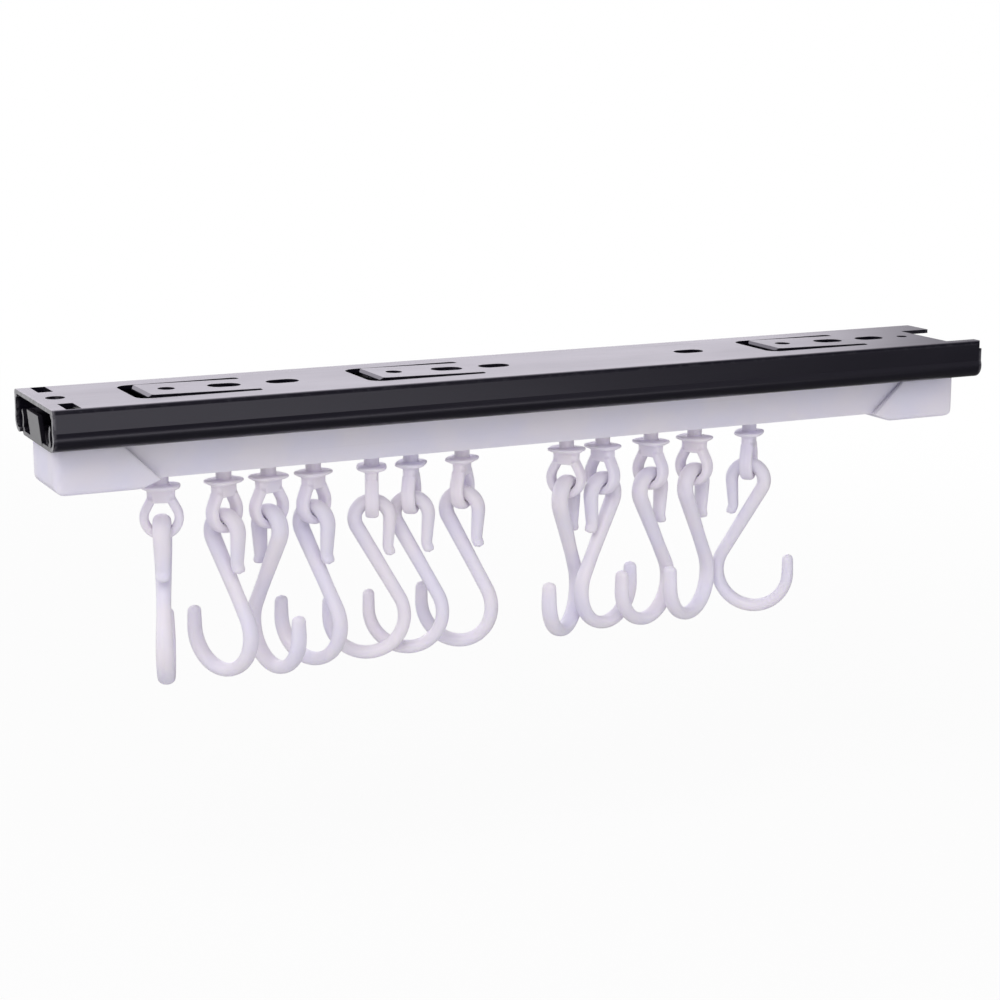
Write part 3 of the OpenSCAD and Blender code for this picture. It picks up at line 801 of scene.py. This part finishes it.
@dataclass
class Eyelet:
    """One eyelet: a button head and neck in the runner, a flange under the track, a shoulder and a loop."""

    number: int
    x: float
    yaw: float
    button_top: float = -15.8
    button_t: float = 1.4
    button_r: float = 4.0
    neck_r: float = 2.25
    flange_top: float = -26.7
    flange_t: float = 1.4
    flange_half: tuple[float, float] = (5.5, 4.4)
    shoulder_half: tuple[float, float] = (3.95, 2.0)
    eye_top: float = -31.8
    ring_z: float = -36.15
    ring_r: float = 4.9
    bar_half: tuple[float, float] = (1.3, 2.0)
    bar_fullness: float = 3.0
    lean: float = 28.0
    overlap: float = 0.9
    soft: float = 0.4
    samples: tuple[int, int] = (9, 56)
    around: int = 48
    bar_around: int = 24

    def stations(self) -> np.ndarray:
        """List the heights where the upper part's section changes, with its half sizes and fullness.

        Returns:
            Rows of (up, half width, half depth, fullness), from the button head down to the shoulder.
        """
        neck, button = self.neck_r, self.button_r
        wide, deep = self.flange_half
        broad, thin = self.shoulder_half
        top, low = self.flange_top, self.flange_top - self.flange_t
        head, head_low = self.button_top, self.button_top - self.button_t
        eye, s = self.eye_top, self.soft
        circle, oblong, block = 2.0, 3.4, 4.0
        return np.array([
            (head, button - s, button - s, circle),
            (head - 0.3 * s, button - 0.3 * s, button - 0.3 * s, circle),
            (head - s, button, button, circle),
            (head_low, button, button, circle),
            (head_low, neck, neck, circle),
            (top + 1.2 * s, neck, neck, circle),
            (top + 0.3 * s, neck + 0.3 * s, neck + 0.3 * s, circle),
            (top, neck + 1.2 * s, neck + 1.2 * s, circle),
            (top, wide - s, deep - s, oblong),
            (top - 0.3 * s, wide - 0.3 * s, deep - 0.3 * s, oblong),
            (top - s, wide, deep, oblong),
            (top - 1.4 * s, wide, deep, oblong),
            (top - 2.1 * s, wide - 0.4 * s, deep - 0.4 * s, oblong),
            (low + 0.6 * s, wide - 1.8 * s, deep - 1.8 * s, 3.2),
            (low, broad + 1.3 * s, thin + 2.6 * s, 3.0),
            (low - 0.2 * s, broad + 0.6 * s, thin + 0.9 * s, oblong),
            (low - 0.5 * s, broad + 0.2 * s, thin + 0.1 * s, block),
            (low - 1.5 * s, broad, thin, block),
            (eye + s, broad, thin, block),
            (eye + 0.3 * s, broad - 0.2 * s, thin - 0.2 * s, block),
            (eye, broad - s, thin - s, block),
        ])

    def upper(self) -> Skin:
        """Make the button head, neck, flange and shoulder.

        Formula: at each station a ring of points goes round the axis, as the rounded cosine times the half
        width and the rounded sine times the half depth.

        Returns:
            The skin, in the eyelet's own frame.
        """
        up, wide, deep, fullness = self.stations()[::-1].T[..., None]
        turn = np.linspace(0.0, 2.0 * np.pi, self.around, endpoint=False)[None, :]
        c, s = rounded(turn, fullness)
        rows = np.stack([wide * c, deep * s, np.broadcast_to(up, c.shape)], axis=-1)
        return skin_of(rows[:, ::-1])

    def loop(self) -> Skin:
        """Make the loop under the shoulder.

        Formula: a straight side leans in at the top, an arc about the ring's centre runs under the opening
        from one side to the other, and a second straight side goes up again, with a bar's rounded section.

        Returns:
            The skin, in the eyelet's own frame.
        """
        lean = math.radians(self.lean)
        foot = self.ring_r * np.array([math.cos(lean), math.sin(lean)])
        rise = (self.eye_top + self.overlap - self.ring_z - foot[1]) / math.cos(lean)
        top = foot + rise * np.array([-math.sin(lean), math.cos(lean)])
        straight, under = self.samples
        share = np.linspace(0.0, 1.0, straight)[:, None]
        turn = np.linspace(math.pi - lean, 2.0 * math.pi + lean, under)
        arc = self.ring_r * np.stack([np.cos(turn), np.sin(turn)], axis=1)
        mirror = np.array([-1.0, 1.0])
        line = np.concatenate([
            top * mirror * (1 - share) + foot * mirror * share,
            arc[1:-1],
            foot * (1 - share) + top * share,
        ]) + np.array([0.0, self.ring_z])
        wide = np.full(len(line), self.bar_half[0])
        thick = np.full(len(line), self.bar_half[1])
        return skin_of(Bar(line, wide, thick, self.bar_fullness).grid(self.bar_around))

    def shape(self) -> Skin:
        """The whole eyelet in its own frame."""
        return self.upper().grown(self.loop())

    def build(self, shape: Skin, finish: bpy.types.Material) -> bpy.types.Object:
        """Put an eyelet at its place and let it ride on its body.

        Args:
            shape: the eyelet in its own frame.
            finish: the eyelet's material.

        Returns:
            The finished piece.
        """
        seam = np.abs(shape.points[:, 1])
        made = piece(f"loop_eyelet_{self.number:02d}", shape.placed(self.x, self.yaw + 90.0), finish, seam)
        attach(made, f"eyelet_{self.number:02d}")
        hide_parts(f"eyelet_{self.number:02d}")
        return made


@dataclass
class Gliders:
    """The twelve gliders: an eyelet that swivels in its runner, and the hook that hangs in it."""

    places: tuple[float, ...] = (-114.9, -96.4, -83, -69.3, -51.2, -38.7, -22.2, 12.6, 25, 41.8, 57.3, 77.1)
    yaws: tuple[float, ...] = (71, 117, -74, 119, 158, 145, 135, -139, 20, -158, -151, -42)
    eyelet: Finish = MilkyPlastic("eyelet_nylon", (238, 233, 243), Making.MOULDED, 0.34, 1.6, 0.5)
    hook: Finish = MilkyPlastic("hook_nylon", (233, 229, 239), Making.MOULDED, 0.32, 1.6, 0.5)

    def build(self) -> None:
        """Make the eyelets and the hooks."""
        eyelet, hook = self.eyelet.material(), self.hook.material()
        shape = Eyelet(0, 0.0, 0.0).shape()
        for number, (x, yaw) in enumerate(zip(self.places, self.yaws), start=1):
            for made in (Eyelet(number, x, yaw).build(shape, eyelet), Hanger(number, x, yaw).build(hook)):
                log.info("%s has %d faces", made.name, len(made.data.polygons))


# Studio


@dataclass(frozen=True)
class Lamp:
    """A soft square lamp that looks at the rail."""

    name: str
    place: tuple[float, float, float]
    side: float
    watts: float
    colour: Colour

    def build(self) -> None:
        """Hang the lamp and turn it to the middle of the rail."""
        data = bpy.data.lights.new(self.name, "AREA")
        data.size = self.side
        data.energy = self.watts
        data.color = self.colour
        lamp = bpy.data.objects.new(self.name, data)
        lamp.location = self.place
        x, y, z = self.place
        flat = math.hypot(x, y)
        lamp.rotation_euler = Euler((math.atan2(flat, z), 0.0, math.atan2(-x, y) + math.pi), "XYZ")
        bpy.context.scene.collection.objects.link(lamp)


@dataclass(frozen=True)
class Studio:
    """A white room with a pale floor, soft lamps and the camera."""

    floor_z: float = -160.0
    floor_half: float = 3000.0
    floor_lines: int = 25
    floor_tint: Colour = (0.86, 0.855, 0.86)
    white: Colour = (1.0, 1.0, 1.0)
    world_light: float = 0.8
    world_fade: float = 0.42
    gloss_light: float = 1.85
    gloss_front: float = 0.15
    gloss_fade: float = 0.86
    mirrored_hue: Colour = (0.99, 0.945, 1.04)
    floor_gloss: tuple[float, float, float] = (0.12, 1.8, 1.05)
    floor_fade: float = 0.97
    floor_shown: float = 0.91
    floor_mirrored: float = 0.97
    lens_mm: float = 82.9
    sensor_mm: float = 36.0
    near_clip: float = 0.01
    camera_at: tuple[float, float, float] = (-299.55, -610.92, 105.13)
    camera_turn: tuple[float, float, float] = (77.81, 0.02, -25.384)

    def camera(self) -> None:
        """Set the camera where the photograph was taken from."""
        data = bpy.data.cameras.new("view")
        data.lens = self.lens_mm
        data.sensor_width = self.sensor_mm
        data.clip_start = self.near_clip
        made = bpy.data.objects.new("view", data)
        made.location = [c * MM for c in self.camera_at]
        made.rotation_euler = Euler([math.radians(a) for a in self.camera_turn], "XYZ")
        bpy.context.scene.collection.objects.link(made)
        bpy.context.scene.camera = made

    def sky(self) -> None:
        """Light the room: white where it is seen, and fainter towards +X as light and in reflections.

        Reflections are also faint towards -Y, where the room is dark, and strong towards +Y.
        """
        world = bpy.data.worlds.new("white room")
        world.use_nodes = True
        bpy.context.scene.world = world
        shading = Shading(world.node_tree)
        seen = shading.ray("Is Camera Ray") + shading.ray("Is Transmission Ray")
        gloss = shading.ray("Is Glossy Ray")
        where = Wire(shading, shading.node("ShaderNodeTexCoord", {}, {}).outputs["Generated"])
        parts = shading.node("ShaderNodeSeparateXYZ", {}, {0: where})
        east, north = Wire(shading, parts.outputs[0]), Wire(shading, parts.outputs[1])
        behind = self.gloss_front + north.between(-0.1, 0.5) * (self.gloss_light - self.gloss_front)
        mirrored = behind * (1 - east.between(0.515, 0.605) * self.gloss_fade)
        soft = self.world_light * (1 - east.between(-0.5, 0.9) * self.world_fade)
        shown = seen + (1 - seen) * (gloss * mirrored + (1 - gloss) * soft)
        hue = shading.mix(gloss, self.white, self.mirrored_hue)
        back = shading.node("ShaderNodeBackground", {}, {"Color": hue, "Strength": shown})
        output = shading.node("ShaderNodeOutputWorld", {}, {})
        world.node_tree.links.new(back.outputs[0], output.inputs[0])

    def floor(self) -> None:
        """Lay a pale floor that keeps the rail's soft shadow, and is clear when looked at from underneath.

        Rays that are seen meet a white glow, a little thinner near the rail, where the shadow shows in it.
        Mirrored rays meet a glow that is strong in front of the rail and behind it and fades towards +X.
        """
        count = self.floor_lines
        side = np.linspace(-self.floor_half, self.floor_half, count)
        x, y = np.meshgrid(side, side, indexing="ij")
        points = np.stack([x, y, np.full_like(x, self.floor_z)], axis=-1).reshape(-1, 3)
        i, j = np.meshgrid(np.arange(count - 1), np.arange(count - 1), indexing="ij")
        corner = i * count + j
        quads = np.stack([corner, corner + count, corner + count + 1, corner + 1], axis=-1)
        made = bpy.data.materials.new("pale_floor")
        made.use_nodes = True
        shading = Shading(made.node_tree)
        matt = shading.node("ShaderNodeBsdfDiffuse", {}, {"Color": self.floor_tint})
        seen = shading.ray("Is Camera Ray") + shading.ray("Is Transmission Ray")
        gloss = shading.ray("Is Glossy Ray")
        east, north = shading.along("X"), shading.along("Y")
        under_rail, front, rear = self.floor_gloss
        near = under_rail + (-north).between(0.28, 0.62) * front + north.between(0.28, 0.62) * rear
        mirrored = near * (1 - east.between(0.28, 0.51) * self.floor_fade)
        strength = seen + gloss * mirrored
        light = shading.node("ShaderNodeEmission", {}, {"Color": self.white, "Strength": strength})
        far = (east.size() + north.size()).between(0.3, 1.2)
        share = seen * (self.floor_shown + far * (1 - self.floor_shown)) + gloss * self.floor_mirrored
        both = shading.node("ShaderNodeMixShader", {}, {0: share})
        under = Wire(shading, shading.node("ShaderNodeNewGeometry", {}, {}).outputs["Backfacing"])
        sided = shading.node("ShaderNodeMixShader", {}, {0: under})
        gone = shading.node("ShaderNodeBsdfTransparent", {}, {})
        output = shading.node("ShaderNodeOutputMaterial", {}, {})
        for start, end in (
            (matt.outputs[0], both.inputs[1]),
            (light.outputs[0], both.inputs[2]),
            (both.outputs[0], sided.inputs[1]),
            (gone.outputs[0], sided.inputs[2]),
            (sided.outputs[0], output.inputs[0]),
        ):
            made.node_tree.links.new(start, end)
        piece("floor", Skin(points, quads.reshape(-1, 4).tolist()), made)

    def build(self) -> None:
        """Set up the room."""
        bpy.context.scene.view_settings.view_transform = "Standard"
        self.camera()
        self.sky()
        self.floor()
        Lamp("key", (-0.55, -0.7, 0.9), 0.9, 6.0, (1.0, 0.985, 0.97)).build()
        Lamp("fill", (0.9, -0.9, 0.25), 1.0, 0.8, (0.96, 0.97, 1.0)).build()
        log.info("studio ready")


def main() -> None:
    """Build the studio and each sub-assembly in order."""
    logging.basicConfig(level=logging.INFO, format="%(name)s: %(message)s")
    Studio().build()
    BallSlide().build()
    Track().build()
    Gliders().build()


if __name__ == "__main__":
    main()
